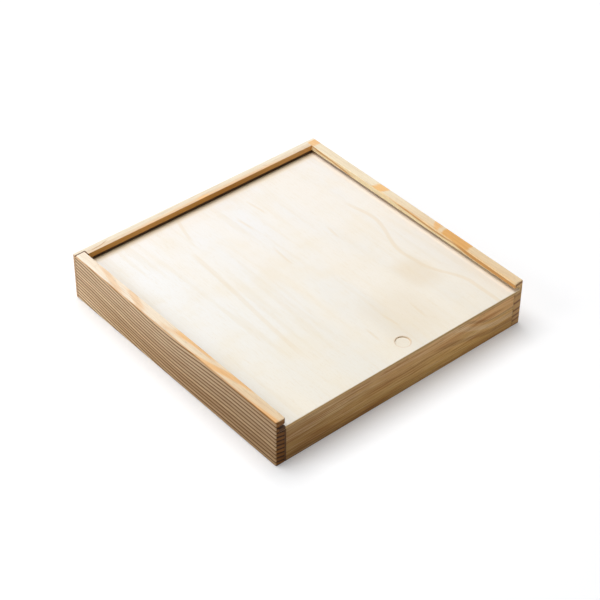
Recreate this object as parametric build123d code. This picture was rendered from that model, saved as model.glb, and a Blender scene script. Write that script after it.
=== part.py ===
from build123d import *
from collections import namedtuple
from math import atan, degrees, sqrt
import os

# Wooden games compendium: a square pine box with a plywood lid that slides out at the front,
# partitions inside, and the boards and pieces of the classic games.
# Millimetres. Origin at the middle of the underside, front towards -Y, +Z up.

# Outside of the box
box_width = 300.0
box_depth = 300.0
box_height = 52.4
side_wall_thickness = 10.5
end_wall_thickness = 10.0

# Arrises eased by sanding
outer_arris = 1.6
foot_arris = 1.2
inner_arris = 0.6

# Sliding lid and the grooves it runs in
lip_height = 5.6
groove_height = 7.5
side_groove_depth = 6.8
back_groove_depth = 5.0
lid_thickness = 3.4
lid_seat_gap = 0.1
lid_edge_gap = 0.3

# Finger recess in the lid
recess_diameter = 15.0
recess_depth = 1.1
recess_bevel = 0.4
recess_from_middle = 12.0
recess_from_front = 16.0

# Corner joints
back_lap_thickness = 3.7
tongue_length = 4.0
tongue_thickness = 4.0

# Plywood base let into a groove all round
base_thickness = 3.0
base_raise = 3.0
base_groove_depth = 5.0
base_edge_gap = 0.3

# Partitions
partition_thickness = 4.0
partition_to_lid = 3.0
halving_gap = 0.1
thumb_gap_width = 30.0
thumb_gap_depth = 13.0
thumb_gap_corner = 6.0

# Channels for the men, one each side of the boards, which take the width between them
channel_width = 39.75

# Boards
board_thickness = 4.0
board_corner = 3.0
board_edge = 0.3
board_gap = 0.75

# Pick-up sticks, whose rows set the width of their narrow bay
stick_end_room = 5.75
stick_diameter = 2.5
stick_point = 7.0
stick_columns = 4
stick_count = 31
stick_gap = 0.2
stick_stagger = 2.0

# Chessmen: heights are shares of the channel's width, feet are shares of the length they lie along
king_height_share = 0.905
queen_height_share = 0.83
bishop_height_share = 0.73
knight_height_share = 0.63
rook_height_share = 0.555
pawn_height_share = 0.458
king_foot_share = 0.090
queen_foot_share = 0.0875
bishop_foot_share = 0.0815
knight_foot_share = 0.079
rook_foot_share = 0.078
pawn_foot_share = 0.067
knight_head_thickness = 6.4
knight_edge = 0.5
cross_thickness = 1.8
crenel_width = 2.0
mitre_cut = 1.0
men_gap = 0.4

# Loose pieces rest this far off what carries them
seat_gap = 0.05

# Draughtsmen, in stacks in the channels' front corners
draught_count = 15
draught_stack = 5
draught_headroom = 5.3
draught_side_gap = 4.2
draught_edge = 0.6
draught_drift = 0.6
draught_ring_depth = 0.5
draught_ring_width = 1.0
draught_gap = 0.4

# Ludo pawns, three across a channel
ludo_rows = 3
ludo_side_gap = 1.2
ludo_gap = 0.8
ludo_height_share = 0.73

# Dominoes
domino_cell_share = 0.477
domino_highest = 6
domino_across = 3
domino_along = 2
domino_layers = 5
domino_side_gap = 3.6
domino_edge = 0.6
domino_gap = 0.3
domino_pip_share = 0.15
domino_pip_pitch_share = 0.26
domino_pip_depth = 0.5
domino_line_width = 0.8

# Playing cards
card_side_gap = 5.6
card_corner = 3.0
deck_count = 2
deck_headroom = 0.65

# Dice
die_count = 5
die_side_gap = 2.3
die_edge = 1.2
die_gap = 0.7
die_cell_room = 1.8
die_pip_share = 0.18
die_pip_pitch_share = 0.27
die_pip_depth = 0.4

# Places worked out from the sizes above
half_width = box_width / 2
half_depth = box_depth / 2
inner_x = half_width - side_wall_thickness
inner_y = half_depth - end_wall_thickness
groove_top = box_height - lip_height
groove_floor = groove_top - groove_height
lid_bottom = groove_floor + lid_seat_gap
lid_top = lid_bottom + lid_thickness
floor_z = base_raise + base_thickness
partition_top = groove_floor - partition_to_lid
room_height = partition_top - floor_z
channel_inner_x = inner_x - channel_width
channel_middle_x = (channel_inner_x + inner_x) / 2
bay_half = channel_inner_x - partition_thickness
bay_size = 2 * bay_half
stick_pitch = stick_diameter + stick_gap
stick_bay_width = (stick_columns - 0.5) * stick_pitch + stick_diameter + 2 * stick_gap
stick_bay_front = inner_y - stick_bay_width
bay_back = stick_bay_front - partition_thickness
bay_front = bay_back - bay_size
front_divider_front = bay_front - partition_thickness
front_room = front_divider_front + inner_y
front_middle_y = (front_divider_front - inner_y) / 2
ludo_pitch = (channel_width - 2 * ludo_side_gap) / ludo_rows
ludo_cell = ludo_rows * ludo_pitch + ludo_gap
ludo_partition_front = inner_y - ludo_cell - partition_thickness
men_run = ludo_partition_front - bay_front

# The games, made to fit their compartments
board_size = bay_size - 2 * board_gap
stick_length = bay_size - 2 * stick_end_room
king_height = king_height_share * channel_width
queen_height = queen_height_share * channel_width
bishop_height = bishop_height_share * channel_width
knight_height = knight_height_share * channel_width
rook_height = rook_height_share * channel_width
pawn_height = pawn_height_share * channel_width
king_foot = king_foot_share * men_run
queen_foot = queen_foot_share * men_run
bishop_foot = bishop_foot_share * men_run
knight_foot = knight_foot_share * men_run
rook_foot = rook_foot_share * men_run
pawn_foot = pawn_foot_share * men_run
ludo_foot = ludo_pitch - ludo_gap
ludo_height = ludo_height_share * room_height
draught_stacks = draught_count // draught_stack
draught_diameter = (front_room - 2 * draught_side_gap) / draught_stacks - draught_gap
draught_thickness = (room_height - draught_headroom) / draught_stack
die_size = (front_room - 2 * die_side_gap) / die_count - die_gap
domino_card_room = bay_size - 2 * partition_thickness - die_size - die_cell_room
domino_cell = domino_cell_share * domino_card_room
domino_length = (domino_cell - domino_gap) / domino_along - domino_gap
domino_width = (front_room - 2 * domino_side_gap) / domino_across - domino_gap
domino_thickness = room_height / domino_layers
card_cell = domino_card_room - domino_cell
card_length = card_cell - 2 * men_gap
card_width = front_room - 2 * card_side_gap
deck_thickness = room_height / deck_count - deck_headroom
domino_partition_x = domino_cell - bay_half
card_partition_x = domino_partition_x + partition_thickness + card_cell

os.makedirs("parts", exist_ok=True)


def block(x0, x1, y0, y1, z0, z1):
    """Rectangular solid between three pairs of limits."""
    middle = Pos((x0 + x1) / 2, (y0 + y1) / 2, (z0 + z1) / 2)
    return middle * Box(x1 - x0, y1 - y0, z1 - z0)


def edges_at(shape, along, **places):
    """Edges parallel to one axis whose middles lie at the given coordinates."""
    found = shape.edges().filter_by(along)
    for name, value in places.items():
        found = found.filter_by(lambda e: abs(getattr(e.center(), name) - value) < 0.01)
    return found


def write(node, *solids):
    """One node's file, with each piece as a separate solid."""
    shape = solids[0] if len(solids) == 1 else Compound(list(solids))
    export_step(shape, f"parts/{node}.step")


# Space that the base panel takes up in the four walls
base_pocket = block(
    -inner_x - base_groove_depth, inner_x + base_groove_depth,
    -inner_y - base_groove_depth, inner_y + base_groove_depth,
    base_raise, floor_z)


def side_wall():
    """Right wall. The left wall is its mirror image."""
    back_end = half_depth - back_lap_thickness
    wall = block(inner_x, half_width, -half_depth, back_end, 0, box_height)
    wall = fillet(edges_at(wall, Axis.Z, X=half_width, Y=-half_depth), outer_arris)
    wall = fillet(edges_at(wall, Axis.Y, X=inner_x, Z=box_height), inner_arris)
    top = wall.faces().sort_by(Axis.X)[-1].edges().filter_by(Axis.Y).sort_by(Axis.Z)[-1]
    wall = fillet(top, outer_arris)
    foot = wall.faces().sort_by(Axis.X)[-1].edges().filter_by(Axis.Y).sort_by(Axis.Z)[0]
    wall = fillet(foot, foot_arris)
    past = 1.0
    wall -= block(
        inner_x - past, inner_x + side_groove_depth,
        -half_depth - past, back_end + past, groove_floor, groove_top)
    tongue_y = -half_depth + end_wall_thickness / 2
    wall -= block(
        inner_x - past, inner_x + tongue_length,
        tongue_y - tongue_thickness / 2, tongue_y + tongue_thickness / 2, -past, groove_floor)
    return wall - base_pocket


def front_wall():
    """Low wall under the lid's front edge, tongued into the side walls."""
    wall = block(-inner_x, inner_x, -half_depth, -inner_y, 0, groove_floor)
    wall = fillet(edges_at(wall, Axis.X, Y=-half_depth, Z=0), foot_arris)
    tongue_y = -half_depth + end_wall_thickness / 2
    wall += block(
        -inner_x - tongue_length, inner_x + tongue_length,
        tongue_y - tongue_thickness / 2, tongue_y + tongue_thickness / 2, 0, groove_floor)
    return wall - base_pocket


def back_wall():
    """Back wall, rebated at both ends to lap over the side walls' ends."""
    wall = block(-half_width, half_width, inner_y, half_depth, 0, box_height)
    for side in (-1, 1):
        wall = fillet(edges_at(wall, Axis.Z, X=side * half_width, Y=half_depth), outer_arris)
    wall = fillet(edges_at(wall, Axis.X, Y=inner_y, Z=box_height), inner_arris)
    top_rim = wall.faces().sort_by(Axis.Z)[-1].edges().filter_by(
        lambda e: e.center().Y > inner_y + inner_arris + 0.01)
    wall = fillet(top_rim, outer_arris)
    foot_rim = wall.faces().sort_by(Axis.Z)[0].edges().filter_by(lambda e: e.center().Y > inner_y + 0.01)
    wall = fillet(foot_rim, foot_arris)
    past = 1.0
    lap_face = half_depth - back_lap_thickness
    for side in (-1, 1):
        x0, x1 = sorted((side * inner_x, side * (half_width + past)))
        wall -= block(x0, x1, inner_y - past, lap_face, -past, box_height + past)
    wall -= block(-inner_x, inner_x, inner_y - past, inner_y + back_groove_depth, groove_floor, groove_top)
    return wall - base_pocket


def base_panel():
    """Thin plywood base, loose by its edge gap in the grooves of the walls."""
    reach_x = inner_x + base_groove_depth - base_edge_gap
    reach_y = inner_y + base_groove_depth - base_edge_gap
    return block(-reach_x, reach_x, -reach_y, reach_y, base_raise, floor_z)


def sliding_lid():
    """Plywood lid with its round finger recess near the front edge."""
    reach_x = inner_x + side_groove_depth - lid_edge_gap
    back_edge = inner_y + back_groove_depth - lid_edge_gap
    lid = block(-reach_x, reach_x, -half_depth, back_edge, lid_bottom, lid_top)
    centre = Pos(recess_from_middle, -half_depth + recess_from_front, lid_top)
    radius = recess_diameter / 2
    dish = Pos(0, 0, -recess_depth) * Cylinder(
        radius - recess_bevel, 2 * recess_depth, align=(Align.CENTER, Align.CENTER, Align.MIN))
    bevel = Pos(0, 0, -recess_bevel) * Cone(
        radius - recess_bevel, radius + recess_bevel, 2 * recess_bevel,
        align=(Align.CENTER, Align.CENTER, Align.MIN))
    return lid - centre * dish - centre * bevel


def thumb_gap(x0, x1, y_middle):
    """Round-cornered cut-out in a divider's top edge, where a finger reaches the boards."""
    half = thumb_gap_width / 2
    gap_floor = partition_top - thumb_gap_depth
    gap = block(x0, x1, y_middle - half, y_middle + half, gap_floor, partition_top + thumb_gap_depth)
    return fillet(edges_at(gap, Axis.X, Z=gap_floor), thumb_gap_corner)


half_height = (floor_z + partition_top) / 2


def long_divider():
    """Right divider from front to back, halved over the front divider, with a thumb gap."""
    divider = block(bay_half, channel_inner_x, -inner_y, inner_y, floor_z, partition_top)
    divider -= thumb_gap(bay_half - 1, channel_inner_x + 1, (bay_front + bay_back) / 2)
    return divider - block(
        bay_half - 1, channel_inner_x + 1,
        front_divider_front - halving_gap, bay_front + halving_gap,
        half_height, partition_top + 1)


def front_divider():
    """Divider right across the box, halved under the two long dividers."""
    divider = block(-inner_x, inner_x, front_divider_front, bay_front, floor_z, partition_top)
    for side in (-1, 1):
        x0, x1 = sorted((side * (bay_half - halving_gap), side * (channel_inner_x + halving_gap)))
        divider -= block(x0, x1, front_divider_front - 1, bay_front + 1, floor_z - 1, half_height)
    return divider


def stick_divider():
    """Divider between the boards and the sticks."""
    return block(-bay_half, bay_half, bay_back, stick_bay_front, floor_z, partition_top)


def channel_partition():
    """Short partition across the right channel, in front of the ludo pawns."""
    return block(
        channel_inner_x, inner_x,
        ludo_partition_front, ludo_partition_front + partition_thickness, floor_z, partition_top)


def front_partition(x_left):
    """Short partition between the front wall and the front divider."""
    return block(
        x_left, x_left + partition_thickness, -inner_y, front_divider_front, floor_z, partition_top)


def board(level):
    """Playing board at its place in the stack."""
    middle_y = (bay_front + bay_back) / 2
    panel = extrude(RectangleRounded(board_size, board_size, board_corner), board_thickness)
    panel = chamfer(panel.faces().filter_by(Axis.Z).edges(), board_edge)
    return Pos(0, middle_y, floor_z + level * board_thickness) * panel


# Arc of a turned outline, through one point to another
Bend = namedtuple("Bend", "through end")

FOOT = [(0, 0), (1, 0), (1, 0.07), (0.84, 0.11), (0.78, 0.15)]
KING = FOOT + [Bend((0.42, 0.27), (0.34, 0.55)), (0.62, 0.60), (0.62, 0.63), (0.40, 0.66), (0.58, 0.81),
               Bend((0.36, 0.86), (0, 0.87))]
QUEEN = FOOT + [Bend((0.42, 0.27), (0.34, 0.58)), (0.62, 0.63), (0.62, 0.66), (0.38, 0.69), (0.62, 0.90),
                (0.46, 0.91), Bend((0.30, 0.94), (0, 0.95))]
BISHOP = FOOT + [Bend((0.42, 0.26), (0.34, 0.53)), (0.60, 0.58), (0.60, 0.61), (0.36, 0.64),
                 Bend((0.56, 0.77), (0.14, 0.93)), (0, 0.93)]
ROOK = [(0, 0), (1, 0), (1, 0.10), (0.84, 0.16), (0.80, 0.21), Bend((0.58, 0.40), (0.56, 0.68)),
        (0.78, 0.73), (0.78, 1), (0.52, 1), (0.52, 0.88), (0, 0.88)]
KNIGHT_FOOT = [(0, 0), (1, 0), (1, 0.09), (0.84, 0.14), (0.74, 0.22), (0.60, 0.28), (0, 0.28)]
PAWN = [(0, 0), (1, 0), (1, 0.10), (0.82, 0.16), (0.74, 0.22), Bend((0.40, 0.38), (0.34, 0.58)),
        (0.62, 0.62), (0.62, 0.66), (0.34, 0.69), (0, 0.69)]
LUDO = [(0, 0), (1, 0), (1, 0.08), Bend((0.50, 0.35), (0.30, 0.66)), (0, 0.66)]
# Side view of the knight's head: distance in front of the axis, and height
HORSE = [(-0.72, 0.26), (-0.82, 0.50), (-0.56, 0.76), (-0.12, 0.92), (0.02, 1.0), (0.20, 0.92),
         (0.48, 0.84), (0.92, 0.66), (0.84, 0.57), (0.50, 0.56), (0.18, 0.61), (0.50, 0.42),
         (0.64, 0.26)]


def turned(outline, height, foot):
    """Solid turned about Z from an outline in shares of the foot's radius and the height."""
    radius = foot / 2

    def sized(point):
        return (point[0] * radius, point[1] * height)

    edges = []
    here = sized(outline[0])
    for step in outline[1:]:
        if isinstance(step, Bend):
            after = sized(step.end)
            edges.append(ThreePointArc(here, sized(step.through), after))
        else:
            after = sized(step)
            edges.append(Line(here, after))
        here = after
    edges.append(Line(here, sized(outline[0])))
    return revolve(Plane.XZ * make_face(edges), Axis.Z)


def king():
    man = turned(KING, king_height, king_foot)
    bottom = 0.85 * king_height
    rise = king_height - bottom
    post = Pos(0, 0, bottom + rise / 2) * Box(cross_thickness, cross_thickness, rise)
    arms_width = 2.6 * cross_thickness
    arms = Pos(0, 0, king_height - 0.4 * rise) * Box(cross_thickness, arms_width, cross_thickness)
    return man + post + arms


def queen():
    man = turned(QUEEN, queen_height, queen_foot)
    ball = 0.045 * queen_height
    return man + Pos(0, 0, queen_height - ball) * Sphere(ball)


def bishop():
    man = turned(BISHOP, bishop_height, bishop_foot)
    ball = 0.05 * bishop_height
    man += Pos(0, 0, bishop_height - ball) * Sphere(ball)
    slot = Box(bishop_foot, bishop_foot, mitre_cut)
    return man - Pos(0.38 * bishop_foot, 0, 0.84 * bishop_height) * Rot(0, -50, 0) * slot


def knight():
    man = turned(KNIGHT_FOOT, knight_height, knight_foot)
    radius = knight_foot / 2
    outline = [(x * radius, z * knight_height) for x, z in HORSE]
    side = Plane.XZ * make_face(Polyline(*outline, close=True))
    head = extrude(side, knight_head_thickness / 2, both=True)
    head = fillet(head.edges().filter_by(Axis.Y, reverse=True), knight_edge)
    return man + head


def rook():
    man = turned(ROOK, rook_height, rook_foot)
    for turn in (0, 90):
        depth = 0.10 * rook_height
        slot = Box(rook_foot + 1, crenel_width, depth, align=(Align.CENTER, Align.CENTER, Align.MIN))
        man -= Rot(0, 0, turn) * Pos(0, 0, rook_height - depth) * slot
    return man


def pawn():
    ball = 0.155 * pawn_height + 0.02 * pawn_foot
    return turned(PAWN, pawn_height, pawn_foot) + Pos(0, 0, pawn_height - ball) * Sphere(ball)


def ludo_pawn():
    ball = 0.19 * ludo_height
    return turned(LUDO, ludo_height, ludo_foot) + Pos(0, 0, ludo_height - ball) * Sphere(ball)


def laid(man, turn, tilt, x_middle, y_middle):
    """The man lying down with its foot rim and its head on the compartment's floor."""
    lying = Rot(0, 0, turn) * Rot(0, 90 + tilt, 0) * man
    space = lying.bounding_box()
    middle = space.center()
    return Pos(x_middle - middle.X, y_middle - middle.Y, floor_z + seat_gap - space.min.Z) * lying


def lean(head_share, head_level, height, foot):
    """How far a lying man's axis dips, from foot rim to the widest part of its head."""
    return degrees(atan((1 - head_share) * foot / 2 / (head_level * height)))


def chess_set(side):
    """One colour's men, lying across its channel from the front divider backwards."""
    ranks = [
        ("rooks", rook(), rook_foot, lean(0.78, 1.0, rook_height, rook_foot)),
        ("knights", knight(), knight_foot, 0),
        ("bishops", bishop(), bishop_foot, lean(0.56, 0.77, bishop_height, bishop_foot)),
        ("queen", queen(), queen_foot, lean(0.62, 0.90, queen_height, queen_foot)),
        ("king", king(), king_foot, lean(0.58, 0.81, king_height, king_foot)),
        ("bishops", bishop(), bishop_foot, lean(0.56, 0.77, bishop_height, bishop_foot)),
        ("knights", knight(), knight_foot, 0),
        ("rooks", rook(), rook_foot, lean(0.78, 1.0, rook_height, rook_foot)),
    ]
    men = {}
    middle_x = side * channel_middle_x
    y = bay_front + men_gap
    for place, (name, man, foot, tilt) in enumerate(ranks):
        turn = 0 if place % 2 else 180
        men.setdefault(name, []).append(laid(man, turn, tilt, middle_x, y + foot / 2))
        y += foot + men_gap
    pawn_tilt = lean(0.55, 0.83, pawn_height, pawn_foot)
    half_row = (laid(pawn(), 0, pawn_tilt, 0, 0).bounding_box().size.X + men_gap) / 2
    for row in range(4):
        for hand in (-1, 1):
            turn = 0 if hand > 0 else 180
            lying = laid(pawn(), turn, pawn_tilt, middle_x + hand * half_row, y + pawn_foot / 2)
            men.setdefault("pawns", []).append(lying)
        y += pawn_foot + men_gap
    return men


def draughtsman():
    """Turned disc with a ring cut in each face."""
    on_floor = (Align.CENTER, Align.CENTER, Align.MIN)
    disc = Cylinder(draught_diameter / 2, draught_thickness, align=on_floor)
    disc = fillet(disc.edges(), draught_edge)
    outer = 0.34 * draught_diameter
    ring = Cylinder(outer, draught_ring_depth) - Cylinder(outer - draught_ring_width, draught_ring_depth)
    disc -= Pos(0, 0, draught_ring_depth / 2) * ring
    return disc - Pos(0, 0, draught_thickness - draught_ring_depth / 2) * ring


def draughtsmen(side):
    """Fifteen discs in three stacks, in the front corner compartment."""
    disc = draughtsman()
    pitch = draught_diameter + draught_gap
    discs = []
    for place in range(draught_count):
        stack, level = divmod(place, draught_stack)
        x = side * channel_middle_x + draught_drift * ((stack + level) % 3 - 1)
        y = front_middle_y + (stack - (draught_stacks - 1) / 2) * pitch
        discs.append(Pos(x, y, floor_z + level * draught_thickness) * disc)
    return discs


def ludo_pawns(side, first):
    """Four pawns of one colour, standing in the rear cell of one channel."""
    pawns = []
    for place in range(first, first + 4):
        column, row = divmod(place, ludo_rows)
        x = side * (channel_middle_x + (column - 1) * ludo_pitch)
        y = inner_y - ludo_cell / 2 + (row - 1) * ludo_pitch
        pawns.append(Pos(x, y, floor_z + seat_gap) * ludo_pawn())
    return pawns


def pip_places(number, pitch):
    """Traditional pip layout of one to six."""
    corners = [(-1, -1), (1, 1), (-1, 1), (1, -1), (-1, 0), (1, 0)]
    even = corners[:number - number % 2]
    places = even + [(0, 0)] * (number % 2)
    return [(x * pitch, y * pitch) for x, y in places]


def domino(low, high):
    """One tile with its dividing line and drilled pips on the upper face."""
    tile = Box(
        domino_length, domino_width, domino_thickness, align=(Align.CENTER, Align.CENTER, Align.MIN))
    tile = fillet(tile.edges(), domino_edge)
    cut_z = domino_thickness - domino_pip_depth / 2
    tile -= Pos(0, 0, cut_z) * Box(domino_line_width, 0.8 * domino_width, domino_pip_depth)
    pip = Cylinder(domino_pip_share * domino_width / 2, domino_pip_depth)
    for number, middle in ((low, -domino_length / 4), (high, domino_length / 4)):
        for x, y in pip_places(number, domino_pip_pitch_share * domino_width):
            tile -= Pos(middle + x, y, cut_z) * pip
    return tile


def domino_tiles():
    """Double-six set of tiles, stacked flat in its compartment."""
    pairs = [(low, high) for high in range(domino_highest + 1) for low in range(high + 1)]
    layer = domino_across * domino_along
    tiles = []
    for place, (low, high) in enumerate(pairs):
        level, spot = divmod(place, layer)
        column, row = divmod(spot, domino_across)
        x = -bay_half + domino_gap + domino_length / 2 + column * (domino_length + domino_gap)
        y = front_middle_y + (row - (domino_across - 1) / 2) * (domino_width + domino_gap)
        tiles.append(Pos(x, y, floor_z + level * domino_thickness) * domino(low, high))
    return tiles


def card_deck(level):
    """Squared pack of playing cards lying in its compartment."""
    x = domino_partition_x + partition_thickness + card_cell / 2
    deck = extrude(RectangleRounded(card_length, card_width, card_corner), deck_thickness)
    return Pos(x, front_middle_y, floor_z + level * deck_thickness) * deck


def die():
    """Round-edged die with its pips drilled in all six faces."""
    cube = fillet(Box(die_size, die_size, die_size).edges(), die_edge)
    pip = Cylinder(die_pip_share * die_size / 2, 2 * die_pip_depth)
    sides = [(1, (0, 0, 0)), (6, (180, 0, 0)), (2, (90, 0, 0)),
             (5, (-90, 0, 0)), (3, (0, 90, 0)), (4, (0, -90, 0))]
    for number, turn in sides:
        for x, y in pip_places(number, die_pip_pitch_share * die_size):
            cube -= Rot(*turn) * Pos(x, y, die_size / 2) * pip
    return cube


def dice():
    """Row of dice in the narrow compartment beside the cards."""
    x = (card_partition_x + partition_thickness + bay_half) / 2
    turns = [(0, 0, 0), (90, 0, 0), (0, 90, 0), (180, 0, 0), (0, -90, 90)]
    row = []
    for place in range(die_count):
        y = front_middle_y + (place - (die_count - 1) / 2) * (die_size + die_gap)
        turned_die = Rot(*turns[place % len(turns)]) * die()
        row.append(Pos(x, y, floor_z + die_size / 2) * turned_die)
    return row


def stick():
    """Pick-up stick, pointed at both ends, lying along X."""
    radius = stick_diameter / 2
    half = stick_length / 2
    shoulder = half - stick_point
    outline = Polyline(
        (0, -half), (0.25 * radius, -half), (radius, -shoulder), (radius, shoulder),
        (0.25 * radius, half), (0, half), close=True)
    return Rot(0, 90, 0) * revolve(Plane.XZ * make_face(outline), Axis.Z)


def pick_up_sticks():
    """Sticks stacked in their bay, each row lying in the hollows of the row below."""
    rise = stick_pitch * sqrt(3) / 2
    one = stick()
    sticks = []
    for place in range(stick_count):
        row, column = divmod(place, stick_columns)
        y = stick_bay_front + stick_gap + stick_diameter / 2 + (column + 0.5 * (row % 2)) * stick_pitch
        x = stick_stagger * ((place * 7) % 5 - 2)
        z = floor_z + seat_gap + stick_diameter / 2 + row * rise
        sticks.append(Pos(x, y, z) * one)
    return sticks


right_wall = side_wall()
write("right_side_wall", right_wall)
write("left_side_wall", mirror(right_wall, Plane.YZ))
write("front_wall", front_wall())
write("back_wall", back_wall())
write("base_panel", base_panel())
write("sliding_lid", sliding_lid())

right_divider = long_divider()
write("right_divider", right_divider)
write("left_divider", mirror(right_divider, Plane.YZ))
write("front_divider", front_divider())
write("stick_divider", stick_divider())
right_partition = channel_partition()
write("right_channel_partition", right_partition)
write("left_channel_partition", mirror(right_partition, Plane.YZ))
write("domino_partition", front_partition(domino_partition_x))
write("dice_partition", front_partition(card_partition_x))

board_names = ["ludo_board", "backgammon_board", "nine_mens_morris_board", "chess_board"]
for level, name in enumerate(board_names):
    write(name, board(level))

for side, colour in ((-1, "light"), (1, "dark")):
    for name, men in chess_set(side).items():
        write(f"{colour}_{name}", *men)
    write(f"{colour}_draughtsmen", *draughtsmen(side))

for side, first, colour in ((-1, 0, "red"), (-1, 5, "yellow"), (1, 0, "green"), (1, 5, "blue")):
    write(f"{colour}_ludo_pawns", *ludo_pawns(side, first))

write("domino_tiles", *domino_tiles())
for level, name in enumerate(["blue_card_deck", "red_card_deck"]):
    write(name, card_deck(level))
write("dice", *dice())
write("pick_up_sticks", *pick_up_sticks())
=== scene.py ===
import bpy
from math import radians, sqrt
from mathutils import Matrix, Vector


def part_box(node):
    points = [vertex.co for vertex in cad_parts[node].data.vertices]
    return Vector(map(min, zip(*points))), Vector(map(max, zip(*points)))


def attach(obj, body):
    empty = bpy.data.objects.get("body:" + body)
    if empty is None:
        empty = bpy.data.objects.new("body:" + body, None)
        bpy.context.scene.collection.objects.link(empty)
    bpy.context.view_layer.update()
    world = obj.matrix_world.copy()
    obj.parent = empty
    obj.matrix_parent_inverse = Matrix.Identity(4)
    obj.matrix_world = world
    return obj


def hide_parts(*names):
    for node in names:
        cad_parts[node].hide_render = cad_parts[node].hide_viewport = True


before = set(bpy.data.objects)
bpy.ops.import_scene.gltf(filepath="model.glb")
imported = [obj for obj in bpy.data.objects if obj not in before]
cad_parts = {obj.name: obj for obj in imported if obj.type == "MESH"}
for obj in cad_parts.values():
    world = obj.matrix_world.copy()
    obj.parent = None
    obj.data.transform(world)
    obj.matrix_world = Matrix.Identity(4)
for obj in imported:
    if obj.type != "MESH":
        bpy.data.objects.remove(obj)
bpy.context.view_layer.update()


# Base panel: thin birch plywood, let into a groove all round the four walls.
# It is cut oversize to the opening, glued in while the walls go together, and left
# bare. Seen from inside between the games, and from underneath.
MM = 1000.0


def tint(code):
    """Linear colour from a two-digit-a-channel colour code."""
    channels = [int(code[at:at + 2], 16) / 255 for at in (0, 2, 4)]
    linear = [c / 12.92 if c <= 0.04045 else ((c + 0.055) / 1.055) ** 2.4 for c in channels]
    return (*linear, 1.0)


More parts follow.
